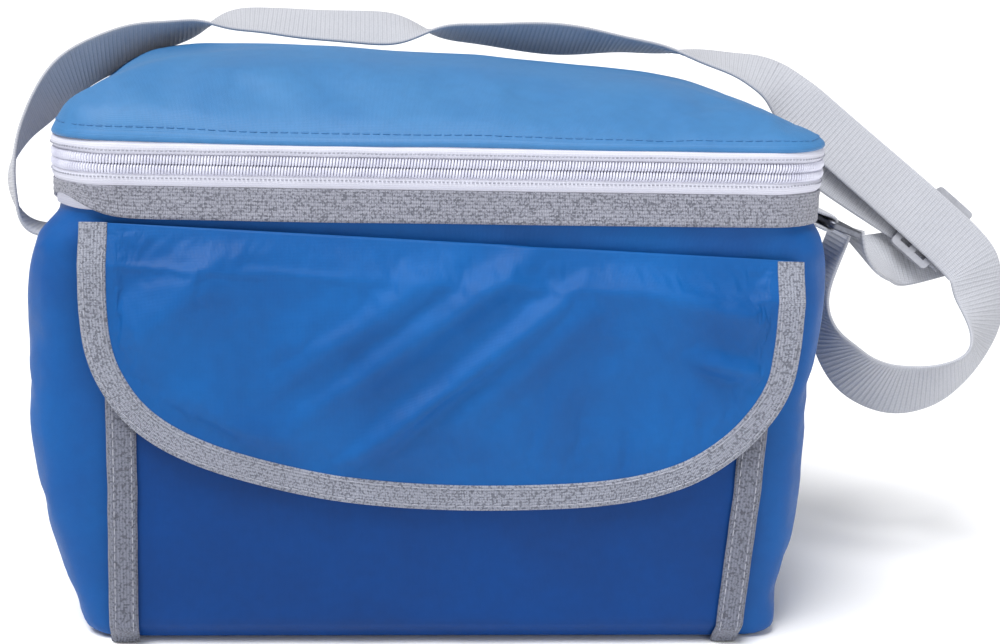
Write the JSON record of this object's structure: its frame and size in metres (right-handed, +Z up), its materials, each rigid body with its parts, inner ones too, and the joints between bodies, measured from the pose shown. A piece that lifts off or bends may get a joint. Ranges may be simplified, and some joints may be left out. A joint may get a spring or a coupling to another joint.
{
  "type": "insulated cooler bag",
  "caption": "Soft insulated cooler bag with a domed zipped lid, a front pocket under a bound flap, and an adjustable webbing shoulder strap lying over the lid.",
  "frame": {"origin": "centre of the flat base", "axes": "+Z up, the pocket and flap face -Y, +X is the bag's width with the strap's ring on the +X side"},
  "size_m": [0.4202, 0.1777, 0.2313],
  "materials": {
    "blue_fabric": "woven coated polyester, soft sheen",
    "white_foam": "closed-cell foam",
    "silver_liner": "welded metallised film, crinkled",
    "stiffener": "flat sheet",
    "grey_band_weave": "basket-weave tape",
    "grey_binding": "folded binding tape, stitched",
    "white_zip_tape": "zip tape",
    "white_zip_coil": "coil zip",
    "black_hook_loop": "hook-and-loop",
    "grey_webbing": "ribbed webbing",
    "slider_metal": "painted die casting",
    "black_plastic": "moulded plastic"
  },
  "bodies": {
    "bag": {"front_panel": "blue_fabric", "back_panel": "blue_fabric", "left_panel": "blue_fabric", "right_panel": "blue_fabric", "base_panel": "blue_fabric", "base_board": "stiffener", "front_foam": "white_foam", "back_foam": "white_foam", "left_foam": "white_foam", "right_foam": "white_foam", "base_foam": "white_foam", "inner_liner": "silver_liner", "grey_band": "grey_band_weave", "body_zip_tape": "white_zip_tape", "body_zip_coil": "white_zip_coil", "zip_end_stops": "white_zip_coil", "rear_hinge_strip": "blue_fabric", "pocket_panel": "blue_fabric", "pocket_hem": "blue_fabric", "pocket_left_binding": "grey_binding", "pocket_right_binding": "grey_binding", "hook_patch": "black_hook_loop", "flap_seam_strip": "blue_fabric", "ring_tab": "grey_webbing", "shoulder_strap": "grey_webbing", "strap_return": "grey_webbing"},
    "lid": {"lid_cover": "blue_fabric", "lid_foam": "white_foam", "lid_liner": "silver_liner", "lid_zip_tape": "white_zip_tape", "lid_zip_coil": "white_zip_coil"},
    "flap": {"flap_panel": "blue_fabric", "flap_binding": "grey_binding", "loop_patch": "black_hook_loop"},
    "zip_slider": {"zip_slider": "slider_metal", "bail_pin": "slider_metal"},
    "pull_tab": {"pull_tab": "slider_metal"},
    "ring": {"ring": "black_plastic"},
    "tri_glide": {"tri_glide": "black_plastic"}
  },
  "joints": [
    {"name": "lid_hinge", "type": "hinge", "parent": "bag", "child": "lid", "pos_m": [0, 0.085, 0.1819], "axis": [-1, 0, 0], "range_deg": [0, 110], "deforming": ["shoulder_strap", "rear_hinge_strip"]},
    {"name": "flap_hinge", "type": "hinge", "parent": "bag", "child": "flap", "pos_m": [0, -0.0852, 0.1556], "axis": [-0.999, 0, 0.0436], "range_deg": [0, 130]},
    {"name": "zip_slide", "type": "slide", "parent": "bag", "child": "zip_slider", "axis": [0, -1, 0], "range_m": [0, 0.095]},
    {"name": "pull_hinge", "type": "hinge", "parent": "zip_slider", "child": "pull_tab", "pos_m": [0.1458, 0.048, 0.1819], "axis": [0, 0, 1], "range_deg": [0, 170]},
    {"name": "ring_hinge", "type": "hinge", "parent": "bag", "child": "ring", "pos_m": [0.16495, 0, 0.15139], "axis": [0, -1, 0], "range_deg": [0, 40], "deforming": ["shoulder_strap", "strap_return"]},
    {"name": "glide_slide", "type": "slide", "parent": "bag", "child": "tri_glide", "axis": [0.7338, -0.2691, -0.6238], "range_m": [-0.012, 0.008], "deforming": ["strap_return"]}
  ]
}
